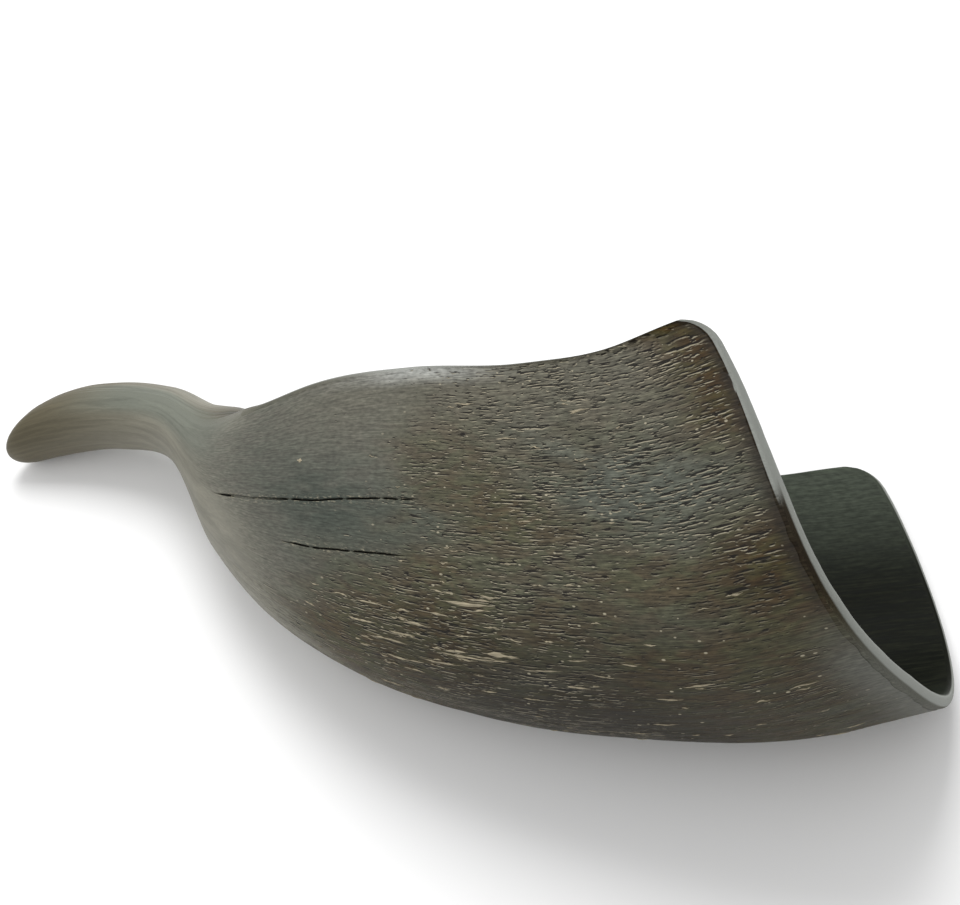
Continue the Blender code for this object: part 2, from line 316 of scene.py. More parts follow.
def along_limit(table, v):
    shares, limits = np.array(table).T
    return np.interp(np.abs(v), shares, limits)


def crack_path(points, x):
    """v of a crack at x, with a fine waver. Outside the crack's own stretch it runs on level."""
    xs, vs = np.array(points).T
    waver = 0.0028 * fibre_noise(x, np.zeros_like(x), 0.0060, 1.0, 311)
    return np.interp(x, xs, vs) + waver


def crack_strength(points, breaks, x):
    """1 in a crack, 0 past its ends, and thin where a bridge of horn still crosses it."""
    xs = np.array(points)[:, 0]
    start = smooth_step(x, xs[0] - 0.001, xs[0] + CRACK_TAPER)
    ends = start * (1.0 - smooth_step(x, xs[-1] - CRACK_TAPER, xs[-1]))
    for at in breaks:
        ends = ends * (1.0 - 0.95 * hump(x, at, BREAK_WIDTH))
    return ends * (0.85 + 0.15 * fibre_noise(x, np.zeros_like(x), 0.003, 1.0, 77))


def crack_field(x, v, half_length):
    """How open a crack is at each point, how deep in metres, and how near its sides are, from 0 to 1."""
    share, deep, sides = np.zeros_like(x), np.zeros_like(x), np.zeros_like(x)
    for points, width, depth, breaks in zip(CRACKS, CRACK_WIDTHS, CRACK_DEPTHS, CRACK_BREAKS):
        away = np.abs(v - crack_path(points, x)) * half_length
        open_ = crack_strength(points, breaks, x)
        reach = width * (0.6 + 0.6 * open_)
        here = open_ * np.clip(1.0 - away / reach, 0.0, 1.0)
        share, deep = np.maximum(share, here), np.maximum(deep, depth * here**0.7)
        sides = np.maximum(sides, open_ * hump(away, 0.0, CRACK_SIDE))
    return share, deep, sides


def zones(x, v, inside):
    """Each kind of surface, and where light and shade are painted, from 0 to 1. inside is 0 on the outside
    of the horn and 1 in the bowl.
    """
    side = np.abs(v)
    outside = 1.0 - inside
    wander = fibre_noise(x, v, 0.016, 0.010, 11)
    smooth_end = along_limit(SMOOTH_UNTIL, v) + 0.008 * wander
    pale_end = along_limit(PALE_UNTIL, v) + 0.004 * wander
    hollow = inside * smooth_step(x + 0.004 * wander, *HOLLOW_ALONG)

    # Grey by the lip, partly a painted highlight.
    lip = smooth_step(x + 0.001 * wander, *LIP_ALONG) * (1.0 - smooth_step(side, *LIP_ACROSS))
    rough = smooth_step(x, smooth_end - ROUGH_BEFORE, smooth_end + ROUGH_AFTER) * (1.0 - 0.8 * lip)
    smooth = 1.0 - smooth_step(x, smooth_end - SMOOTH_BEFORE, smooth_end + SMOOTH_AFTER)
    pale = 1.0 - smooth_step(x, pale_end - PALE_BEFORE, pale_end + PALE_AFTER)
    warm = smooth_step(x + 0.004 * wander, *WARM_ALONG) * smooth_step(side, *WARM_ACROSS)
    warm = warm * (1.0 - 0.95 * hump(side, *WARM_GAP))
    # Painted shade on the underside.
    belly = (1.0 - smooth_step(side, *BELLY_ACROSS)) * smooth_step(x, *BELLY_ALONG)
    belly = belly * (1.0 - 0.40 * smooth_step(x, *BELLY_FADE))
    calm = 1.0 - smooth_step(side + 0.05 * wander, *CALM_ACROSS)
    calm = smooth_step(x + 0.010 * wander, *CALM_ALONG) * calm
    upper = smooth_step(side, *UPPER_ACROSS) * (1.0 - smooth_step(x, *UPPER_END))
    line = 1.0 - smooth_step(BOWL_LENGTH - x, *LINE_BACK)

    # The blue-grey is partly the horn's own tone and partly a painted sheen.
    xs, vs = np.array(BLUE_AT).T
    blue = hump(side, np.interp(x, xs, vs), BLUE_SPREAD) * smooth_step(x, *BLUE_ALONG)
    blue = blue * (1.0 - 0.75 * hump(x, *BLUE_GAP)) * (1.0 - 0.7 * warm)
    blue = blue + 0.45 * fibre_noise(x, v, 0.022, 0.012, 21) * rough
    # A worn patch on the cut edge, partly wear and partly a painted sheen, and a painted highlight in the
    # notch.
    worn = hump(x, *WEAR_AND_HIGHLIGHT_AT) * smooth_step(side, *WEAR_AND_HIGHLIGHT_ACROSS)
    notch_highlight = hump(x, *NOTCH_HIGHLIGHT_AT) * inside * smooth_step(-v, *NOTCH_HIGHLIGHT_ACROSS)
    return {
        "rough": rough * outside,
        "pale": pale * (1.0 - hollow),
        "tip": 1.0 - smooth_step(x, *TIP_ALONG),
        "blue": np.clip(blue, 0.0, 1.0) * outside,
        # Painted light along the cut edges.
        "top": smooth_step(side, *TOP_ACROSS) * smooth_step(x, *TOP_ALONG),
        # Wear with a painted sheen, and the painted highlight in the notch.
        "worn": np.clip(0.42 * worn + notch_highlight, 0.0, 1.0),
        "calm": calm * outside,
        "upper": upper * smooth_step(x, *UPPER_ALONG),
        "warm": warm * outside,
        "lip": lip,
        "belly": belly * outside,
        "smooth": smooth * outside,
        "line": line * outside * smooth_step(side, *LINE_ACROSS),
        "inside": hollow,
    }


def surface_masks(x, v, inside):
    """Every mask that the materials read."""
    _, half_length = even_angles(x, v)
    share, _, sides = crack_field(x, v, half_length)
    masks = zones(x, v, inside)
    masks["crack"] = share * (1.0 - inside)
    masks["crack_side"] = sides * (1.0 - inside)
    round_edge = 4.0 * inside * (1.0 - inside) * smooth_step(x, *RIM_ALONG)
    bare_edge = (1.0 - smooth_step(BOWL_LENGTH - x, *BARE_BACK)) * (1.0 - inside)
    masks["edge"] = np.maximum(round_edge, bare_edge * smooth_step(np.abs(v), *BARE_ACROSS))
    return masks


# ----------------------------------------------------------------------------
# Relief, in metres along the outward normal.

# Each pattern's length along the fibres, width across them and seed, and its number of octaves.
SWELL = (0.030, 0.007, 31)
RIBS = (0.011, 0.0021, 41)
FINE_RIBS = (0.0045, 0.0012, 51, 2)
PITS = (0.0042, 0.0014, 61, 2)
BUMPS = (0.0030, 0.0030, 71)
SCRAPED = (0.035, 0.006, 131)
SCRATCHES = (0.012, 0.0016, 141)

SWELL_HEIGHT = 0.00012
RIB_HEIGHT = 0.00010
FINE_RIB_HEIGHT = 0.00006
PIT_DEPTH = 0.00012
BUMP_HEIGHT = 0.00011
SCRAPED_HEIGHT = 0.00008
SCRATCH_HEIGHT = 0.00004
EVEN_TIP = 0.004


def outer_relief(x, v, half_length, zone):
    """Height of the weathered outside over the even surface of the CAD."""
    rough, mouth = zone["rough"], zone["warm"]
    swell = SWELL_HEIGHT * fibre_noise(x, v, *SWELL) * (0.15 + 0.85 * smooth_step(x, -0.010, 0.030))
    ribs = RIB_HEIGHT * fibre_noise(x, v, *RIBS)
    fine = FINE_RIB_HEIGHT * fibre_noise(x, v, *FINE_RIBS)
    pits = smooth_step(fibre_noise(x, v, *PITS), 0.34, 0.75)
    bumps = fibre_noise(x, v, *BUMPS)
    _, crack, _ = crack_field(x, v, half_length)
    relief = swell * (0.6 + 0.4 * rough) + (ribs + fine) * rough
    relief = relief - PIT_DEPTH * pits * rough * (1.0 - 0.5 * mouth)
    relief = relief + BUMP_HEIGHT * bumps * mouth
    return relief * smooth_step(x, TIP_X, TIP_X + EVEN_TIP) - crack


def inner_relief(x, v):
    """Height of the scraped inside over the even surface of the CAD."""
    scraped = SCRAPED_HEIGHT * fibre_noise(x, v, *SCRAPED)
    scratches = SCRATCH_HEIGHT * fibre_noise(x, v, *SCRATCHES)
    return (scraped + scratches) * smooth_step(x, TIP_X, TIP_X + EVEN_TIP)


def normals(grid):
    """Unit normals of a grid of points, outward on the outside of the horn."""
    normal = np.cross(np.gradient(grid, axis=0), np.gradient(grid, axis=1))
    return normal / np.maximum(np.linalg.norm(normal, axis=-1, keepdims=True), 1e-12)


# ----------------------------------------------------------------------------
# Meshes.

EDGE_STEPS = 7
SHARP_ANGLE = 50.0
HANDLE_ROWS = 150
HANDLE_COLUMNS = 281
CAP_ROWS = 26
CAP_START = 0.02
SEAM_OVERLAP = 0.0006
SKIN_MARGIN = 0.0007
SKIN_THICKNESS = 0.0010
SKIN_GAP = 0.0002
BARE_BAND = 0.0012
BARE_STEP = 0.0012
BARE_DEPTH = 0.00010
COARSE_STEP = 4
SKIN_ROWS = 62 * COARSE_STEP + 1
SKIN_COLUMNS = 82 * COARSE_STEP + 1
SEAM_DROP = 0.00015
CROWD_REACH = 0.012
CROWDING = 3.0
LINING_ROWS = 128
LINING_COLUMNS = 141
MOUTH_ROWS = 8
MOUTH_ZONE = (0.0030, 0.0022)
RIM_FLATNESS = 0.75
RIM_TURNS = (8.0, 17.0, 27.0, 38.0, 50.0, 62.0, 74.0, 84.0)

# Distances from a cut edge at which the lining has its closest columns, and where the even ones end.
EDGE_COLUMNS = (0.0, 0.00025, 0.0005, 0.0008, 0.0011, 0.0015, 0.0020, 0.0030, 0.0045, 0.0060, 0.0080)
EDGE_ZONE = 0.0095


def direction(start, end):
    way = end - start
    return way / np.maximum(np.linalg.norm(way, axis=-1, keepdims=True), 1e-12)


def rounded_edge(start, end, outward, bulge, flatness):
    """Points round an edge from start to end. A flatness of 1 is a half circle, and less is squarer."""
    middle, arm = (start + end) / 2.0, (start - end) / 2.0
    reach = np.linalg.norm(arm, axis=-1, keepdims=True) * np.asarray(bulge)[..., None]
    turns = np.linspace(0.0, math.pi, EDGE_STEPS + 2)[1:-1]
    points = [
        middle + arm * power(math.cos(turn), flatness) + outward * reach * power(math.sin(turn), flatness)
        for turn in turns
    ]
    return np.stack(points, axis=1)


def once_round(outer, near, inner, far):
    middle = EDGE_STEPS // 2
    return np.concatenate([far[:, middle:], outer, near, inner[:, ::-1], far[:, :middle]], axis=1)


def rings_between(outer, inner, bulge, flatness):
    """Closed rings from two facing grids, each starting at the middle of its rounded far edge."""
    near = rounded_edge(outer[:, -1], inner[:, -1], direction(outer[:, -2], outer[:, -1]), bulge, flatness)
    far = rounded_edge(inner[:, 0], outer[:, 0], direction(outer[:, 1], outer[:, 0]), bulge, flatness)
    return once_round(outer, near, inner, far)


def ring_values(outer, inner):
    """A value given on both facing grids, carried round the rings that rings_between makes."""
    share = np.linspace(0.0, 1.0, EDGE_STEPS + 2)[1:-1]
    near = outer[:, -1:] * (1.0 - share) + inner[:, -1:] * share
    far = inner[:, :1] * (1.0 - share) + outer[:, :1] * share
    return once_round(outer, near, inner, far)


def ring_faces(count, around):
    """Faces between neighbouring rings, and a strip across the first and the last ring."""
    faces = []
    for ring in range(count - 1):
        here, there = ring * around, (ring + 1) * around
        for i in range(around):
            j = (i + 1) % around
            faces.append((here + i, there + i, there + j, here + j))
    last = (count - 1) * around
    for i in range(around // 2):
        strip = list(dict.fromkeys((i, i + 1, around - 1 - i, (around - i) % around)))
        faces.append(tuple(strip))
        faces.append(tuple(last + k for k in strip[::-1]))
    return faces


def shell_faces(rows, columns):
    """Faces of a thin shell: a fine grid, a coarse grid under it, and a strip between their borders."""
    step = COARSE_STEP
    fine = np.arange(rows * columns).reshape(rows, columns)
    coarse_shape = ((rows - 1) // step + 1, (columns - 1) // step + 1)
    coarse = rows * columns + np.arange(coarse_shape[0] * coarse_shape[1]).reshape(coarse_shape)
    faces = []
    for grid, turned in ((fine, False), (coarse, True)):
        a, b, c, d = grid[:-1, :-1], grid[1:, :-1], grid[1:, 1:], grid[:-1, 1:]
        corners = (d, c, b, a) if turned else (a, b, c, d)
        faces += np.stack([corner.ravel() for corner in corners], -1).tolist()
    upper, lower = border(fine), border(coarse)
    for k, below in enumerate(lower):
        next_below = lower[(k + 1) % len(lower)]
        for j in range(step):
            at = k * step + j
            faces.append((upper[at], below, upper[(at + 1) % len(upper)]))
        faces.append((upper[(k + 1) * step % len(upper)], below, next_below))
    return faces


def border(grid):
    """The border of a grid of vertex numbers, once round, in the direction its faces leave open."""
    return [*grid[0, :-1], *grid[:-1, -1], *grid[-1, :0:-1], *grid[:0:-1, 0]]


def settled(points):
    """Points of the scoop's own frame in the row's frame, with nothing below the surface it lies on."""
    turn = np.array(Euler((REST_ROLL, REST_PITCH, 0.0)).to_matrix())
    moved = points @ turn.T + STAND
    moved[..., 2] = np.maximum(moved[..., 2], 0.0)
    return moved


def stand_location():
    """Where the scoop's own origin stands: the top corner of the lining's box in the CAD gives it."""
    x = np.linspace(SEAM_X, BOWL_LENGTH, 180)
    grid_x, v = np.meshgrid(x, np.linspace(-1.0, 1.0, 240), indexing="ij")
    outside, inside = horn_points(grid_x, v)
    end = np.linalg.norm(outside[-1] - inside[-1], axis=-1, keepdims=True) / 2.0
    rim = (outside[-1] + inside[-1]) / 2.0 + direction(outside[-2], outside[-1]) * end
    turn = np.array(Euler((REST_ROLL, REST_PITCH, 0.0)).to_matrix())
    points = np.concatenate([outside.reshape(-1, 3), inside.reshape(-1, 3), rim]) @ turn.T
    return np.array(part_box("inner_sheath")[1]) - points.max(axis=0)


def new_object(name, data):
    made = bpy.data.objects.new(name, data)
    bpy.context.scene.collection.objects.link(made)
    return made


def solid(name, points, faces, x, v, inside, material, node):
    """A piece that stands for a CAD node, with its zones and its fibre coordinates on its points."""
    mesh = bpy.data.meshes.new(name)
    mesh.from_pydata(settled(points.reshape(-1, 3)).tolist(), [], faces)
    x, v, inside = x.ravel(), v.ravel(), inside.ravel()
    fibre = mesh.attributes.new("fibre", "FLOAT_VECTOR", "POINT")
    along = np.stack((x, v * FIBRE_SPREAD, inside * 0.5), -1) * 1000.0
    fibre.data.foreach_set("vector", along.astype(np.float32).ravel())
    for key, value in surface_masks(x, v, inside).items():
        layer = mesh.attributes.new(key, "FLOAT", "POINT")
        layer.data.foreach_set("value", np.asarray(value, np.float32).ravel())
    mesh.materials.append(material)
    mesh.shade_smooth()
    mesh.set_sharp_from_angle(angle=math.radians(SHARP_ANGLE))
    piece = new_object(name, mesh)
    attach(piece, "root")
    if node:
        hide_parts(node)
    return piece


def relieved(x, v):
    """The two facing grids of the horn with their relief."""
    outside, inside = horn_points(x, v)
    _, half_length = even_angles(x, v)
    zone = zones(x, v, np.zeros_like(x))
    outer = outside + normals(outside) * outer_relief(x, v, half_length, zone)[..., None]
    return outer, inside - normals(inside) * inner_relief(x, v)[..., None]


def edge_bulge(x):
    """Nearly flat on the solid tip, and full on the cut edge of the bowl."""
    return FLATTEST_BULGE + (1.0 - FLATTEST_BULGE) * smooth_step(x, HOLLOW_START, HOLLOW_FULL)


def crack_lines(x, columns):
    """v for each x and column. The columns crowd together along the cracks and follow them."""
    knots = [-1.0, 0.0]
    values = [np.full_like(x, -1.0), np.zeros_like(x)]
    for points in sorted(CRACKS, key=lambda path: path[0][1]):
        middle = np.mean(np.array(points)[:, 1])
        for offset in (-CROWD_REACH, 0.0, CROWD_REACH):
            knots.append(middle + offset * CROWDING)
            values.append(crack_path(points, x) + offset)
    knots, values = np.array(knots + [1.0]), np.stack([*values, np.ones_like(x)], -1)
    even = np.linspace(-1.0, 1.0, columns)
    return np.array([np.interp(even, knots, row) for row in values])


def handle_piece(material):
    """The smooth solid tip, curled and worn by hands, and the neck where it dips into the hollow."""
    turns = np.linspace(CAP_START, 1.0, CAP_ROWS) * math.pi / 2.0
    cap = TIP_X + TIP_ROUNDING * (1.0 - np.cos(turns))
    grip = np.linspace(TIP_X + TIP_ROUNDING, SEAM_X, HANDLE_ROWS)[1:]
    x = np.concatenate((cap, grip, [SEAM_X + SEAM_OVERLAP]))
    v = crack_lines(x, HANDLE_COLUMNS)
    x = np.repeat(x[:, None], v.shape[1], 1)
    outside, top = relieved(x, v)
    outside[-1] += direction(outside[-1], top[-1]) * SEAM_DROP
    top[-1] += direction(top[-1], outside[-1]) * SEAM_DROP
    rings = rings_between(outside, top, edge_bulge(x[:, 0]), 1.0)
    ring_x, ring_v = ring_values(x, x), ring_values(v, v)
    inside = ring_values(np.zeros_like(x), np.ones_like(x))
    faces = ring_faces(*rings.shape[:2])
    return solid(
        "tip_handle_worn", rings, faces, ring_x, ring_v, inside, material, "tip_handle"
    )


def skin_piece(material):
    """The weathered outer growth layers, with cracks, pits and a ragged margin just short of every edge."""
    x = np.linspace(SEAM_X, BOWL_LENGTH, SKIN_ROWS)
    v = crack_lines(x, SKIN_COLUMNS)
    grid_x = np.repeat(x[:, None], SKIN_COLUMNS, 1)
    _, half_length = even_angles(grid_x, v)
    ragged = SKIN_MARGIN * (1.0 + 0.5 * fibre_noise(grid_x, v * 0.0, 0.004, 1.0, 91))
    v = v - np.sign(v) * ragged / half_length * smooth_step(np.abs(v), 0.75, 0.97)
    front = SKIN_MARGIN * (1.0 + 0.5 * fibre_noise(grid_x * 0.0, v, 1.0, 0.004, 95))
    grid_x = grid_x - front * smooth_step(grid_x, BOWL_LENGTH - 0.008, BOWL_LENGTH)
    outside, inside = relieved(grid_x, v)
    even, _ = horn_points(grid_x, v)
    under = even + direction(even, inside) * SKIN_THICKNESS
    step = COARSE_STEP
    coarse = under[::step, ::step]
    points = np.concatenate((outside.reshape(-1, 3), coarse.reshape(-1, 3)))
    flat_x = np.concatenate((grid_x.ravel(), grid_x[::step, ::step].ravel()))
    flat_v = np.concatenate((v.ravel(), v[::step, ::step].ravel()))
    faces = shell_faces(SKIN_ROWS, SKIN_COLUMNS)
    return solid(
        "outer_sheath_weathered", points, faces, flat_x, flat_v, np.zeros_like(flat_x), material,
        "outer_sheath",
    )


def lining_piece(material):
    """The dark lining of the bowl, which shows at the edges as a worn rim."""
    wall = np.linspace(SEAM_X, BOWL_LENGTH - MOUTH_ZONE[0], LINING_ROWS)
    mouth = BOWL_LENGTH - np.linspace(MOUTH_ZONE[1], 0.0, MOUTH_ROWS)
    x = np.concatenate((wall, mouth))
    even = np.linspace(-1.0, 1.0, LINING_COLUMNS)
    _, half_length = even_angles(x, np.zeros_like(x))
    near_edge = np.array(EDGE_COLUMNS)
    covered = 1.0 - EDGE_ZONE / half_length
    middle = even[None, :] * covered[:, None]
    edge = 1.0 - near_edge[None, :] / half_length[:, None]
    v = np.concatenate((-edge, middle, edge[:, ::-1]), axis=1)
    grid_x = np.repeat(x[:, None], v.shape[1], 1)
    outside, inside = relieved(grid_x, v)
    even_outside, _ = horn_points(grid_x, v)
    from_edge = np.minimum((1.0 - np.abs(v)) * half_length[:, None], BOWL_LENGTH - grid_x)
    cover = smooth_step(from_edge, BARE_BAND, BARE_BAND + BARE_STEP)
    deep = BARE_DEPTH + (SKIN_THICKNESS + SKIN_GAP - BARE_DEPTH) * cover
    deep = deep * smooth_step(from_edge, 0.0, SKIN_MARGIN)
    outer = even_outside + direction(even_outside, inside) * deep[..., None]
    rings = rings_between(outer, inside, edge_bulge(x), RIM_FLATNESS)
    ring_x, ring_v = ring_values(grid_x, grid_x), ring_values(v, v)
    share = ring_values(np.zeros_like(grid_x), np.ones_like(grid_x))
    cap, cap_share = rim_rings(rings, share)
    rings = np.concatenate((rings, cap))
    ring_x = np.concatenate((ring_x, np.repeat(ring_x[-1:], len(cap), 0)))
    ring_v = np.concatenate((ring_v, np.repeat(ring_v[-1:], len(cap), 0)))
    share = np.concatenate((share, cap_share))
    faces = ring_faces(*rings.shape[:2])
    return solid(
        "inner_sheath_worn", rings, faces, ring_x, ring_v, share, material, "inner_sheath"
    )


def rim_rings(rings, share):
    """Rings that close the wall at the mouth, each one narrower than the last and farther forward."""
    last = rings[-1]
    forward = direction(rings[-2], last)
    facing = np.roll(last[::-1], 1, axis=0)
    facing_share = np.roll(share[-1][::-1], 1)
    middle, arm = (last + facing) / 2.0, (last - facing) / 2.0
    forward = forward + np.roll(forward[::-1], 1, axis=0)
    forward /= np.linalg.norm(forward, axis=-1, keepdims=True)
    reach = np.linalg.norm(arm, axis=-1, keepdims=True)
    points, shares = [], []
    for turn in np.radians(RIM_TURNS):
        out, up = power(math.cos(turn), RIM_FLATNESS), power(math.sin(turn), RIM_FLATNESS)
        points.append(middle + arm * out + forward * reach * up)
        shares.append((share[-1] + facing_share) / 2.0 + (share[-1] - facing_share) / 2.0 * math.cos(turn))
    return np.stack(points), np.stack(shares)


# ----------------------------------------------------------------------------
# Lifted slivers of the outer layer.

# The long ones, each by its middle's x and v, its length and its width.
LONG_SLIVERS = (
    (0.0730, 0.400, 0.0120, 0.00075),
    (0.0760, 0.413, 0.0070, 0.00045),
    (0.0700, 0.262, 0.0120, 0.00070),
    (0.0775, 0.280, 0.0075, 0.00110),
    (0.0745, 0.268, 0.0050, 0.00050),
    (0.0900, 0.208, 0.0050, 0.00080),
    (0.0530, 0.262, 0.0095, 0.00055),
    (0.0600, 0.325, 0.0085, 0.00050),
    (0.0480, 0.300, 0.0070, 0.00055),
    (0.0555, 0.215, 0.0090, 0.00050),
    (0.0850, 0.250, 0.0080, 0.00040),
    (0.0655, 0.365, 0.0070, 0.00045),
    (0.0640, 0.232, 0.0100, 0.00040),
    (0.0500, 0.355, 0.0075, 0.00040),
    (0.0570, 0.292, 0.0060, 0.00040),
    (0.0321, 0.750, 0.0014, 0.00120),
)
SHORT_SLIVERS = 190
SLIVER_STEPS = 15
SLIVER_RISE = 0.00016


def sliver_places():
    """Middle, length and width of every sliver: the long ones, and short ones over the rough parts."""
    draw = np.random.default_rng(2024)
    places = list(LONG_SLIVERS)
    while len(places) < len(LONG_SLIVERS) + SHORT_SLIVERS:
        x = draw.uniform(0.030, 0.128)
        v = draw.uniform(-0.9, 0.97)
        crowd = math.exp(-(((x - 0.062) / 0.026) ** 2) - (((abs(v) - 0.27) / 0.13) ** 2))
        rough = float(zones(np.array([x]), np.array([v]), np.zeros(1))["rough"][0])
        size = draw.uniform(0.0, 1.0)
        if draw.uniform() < rough * (0.14 + 0.86 * crowd):
            places.append((x, v, 0.0014 + 0.0046 * size**2, 0.00026 + 0.00022 * size))
    return places


def sliver_piece(material):
    """Thin splinters that have lifted from the surface and stayed fast at both ends."""
    stations = np.linspace(-1.0, 1.0, SLIVER_STEPS)
    corners = np.array(((-1.0, 0.0), (-0.45, 1.0), (0.45, 1.0), (1.0, 0.0), (0.0, -1.2)))
    all_x, all_v, lift = [], [], []
    for number, (x, v, length, width) in enumerate(sliver_places()):
        taper = np.maximum(1.0 - np.abs(stations) ** 1.7, 0.04)
        bend = 0.0030 * noise(stations * 1.4 + number * 3.7, stations * 0.0 + number, 801)
        half_length = float(even_angles(np.array([x]), np.array([v]))[1][0])
        ragged = 0.78 + 0.62 * noise(stations * 4.5 + number * 5.1, stations * 0.0 + number, 811)
        reach = corners[None, :, 0] * (taper * ragged)[:, None] * width / 2.0 / half_length
        all_x.append(np.repeat((x + stations * length / 2.0)[:, None], len(corners), 1))
        all_v.append(v + bend[:, None] + reach)
        lift.append(corners[None, :, 1] * SLIVER_RISE * taper[:, None] * np.ones_like(reach))
    x, v, lift = np.concatenate(all_x), np.concatenate(all_v), np.concatenate(lift)
    at, _ = horn_points(x, v)
    ahead, _ = horn_points(x + 0.0005, v)
    aside, _ = horn_points(x, v + 0.003)
    outward = np.cross(ahead - at, aside - at)
    outward /= np.linalg.norm(outward, axis=-1, keepdims=True)
    _, half_length = even_angles(x, v)
    relief = outer_relief(x, v, half_length, zones(x, v, np.zeros_like(x)))
    points = at + outward * (relief + lift)[..., None]
    rows, around = len(stations), len(corners)
    faces = []
    for start in range(0, len(points) * around, rows * around):
        for i in range(rows - 1):
            for j in range(around):
                a, b = start + i * around + j, start + i * around + (j + 1) % around
                faces.append((a, a + around, b + around, b))
        faces.append(tuple(range(start, start + around)))
        faces.append(tuple(range(start + rows * around - 1, start + (rows - 1) * around - 1, -1)))
    return solid("lifted_slivers", points, faces, x, v, np.zeros_like(x), material, None)


# ----------------------------------------------------------------------------
# Materials. Colours are linear.

BROWN = (0.064, 0.048, 0.026)
OLIVE = (0.062, 0.059, 0.031)
SMOOTH_GREY = (0.114, 0.117, 0.101)
# Blue-grey, partly a painted sheen.
GREY_BLUE_AND_SHEEN = (0.037, 0.046, 0.037)
# Painted light along the cut edges.
LIT_EDGE_GREY = (0.105, 0.100, 0.078)
# Painted shade of the underside.
BELLY_SHADE_BROWN = (0.011, 0.008, 0.003)
WARM_BROWN = (0.036, 0.021, 0.007)
WARM_OLIVE = (0.046, 0.037, 0.013)
# Grey of the lip, partly a painted highlight.
LIP_GREY_AND_HIGHLIGHT = (0.082, 0.083, 0.069)
PALE_GREY = (0.195, 0.188, 0.150)
TIP_BROWN = (0.092, 0.080, 0.050)
UPPER_GREY = (0.128, 0.142, 0.118)
# Blue-grey on rough parts, partly a painted sheen.
NEAR_BLUE_AND_SHEEN = (0.074, 0.080, 0.064)
# Pale grey of the worn patch, partly a painted sheen, and of the painted highlight in the notch.
WEAR_AND_HIGHLIGHT_GREY = (0.640, 0.660, 0.640)
# The lining's own dark colour, with painted shade deep in the hollow.
INSIDE_DARK_AND_SHADE = (0.002, 0.003, 0.001)
INSIDE_LIGHT = (0.008, 0.009, 0.005)
INSIDE_TOP = (0.042, 0.050, 0.037)
RIM_GREY = (0.235, 0.245, 0.225)
# Black of the cracks, and the painted shadow in the slits.
CRACK_AND_SHADOW_BLACK = (0.005, 0.004, 0.003)
# Pale flecks and chips, and the painted highlight below each slit.
FLECK_AND_HIGHLIGHT = (0.360, 0.325, 0.235)
LINE_BROWN = (0.018, 0.014, 0.010)
SPLINTER = (0.360, 0.310, 0.210)
HORN_IOR = 1.54

# Longer slits in the outer layer, each darkened by painted shadow with a painted highlight below it: where
# each starts and ends, in millimetres along the horn, and its place at both ends, in hundredths of v.
SLITS = (
    (85.5, 97.0, 84.5, 84.0),
    (104.6, 108.0, 61.1, 61.0),
    (110.0, 116.5, 61.4, 60.5),
    (127.0, 133.5, 69.6, 68.4),
    (134.5, 141.0, 68.3, 67.2),
    (127.0, 140.5, 96.2, 95.7),
    (101.0, 108.0, 90.5, 90.0),
    (90.0, 96.5, 69.0, 68.6),
    (96.0, 102.0, 40.2, 39.8),
    (72.0, 84.0, -52.0, -53.0),
    (103.0, 116.0, -31.0, -30.0),
    (108.0, 119.0, -74.0, -73.0),
)
SLIT_WIDTH = 0.24
# How far below each slit its painted highlight lies.
HIGHLIGHT_OFFSET = 0.27


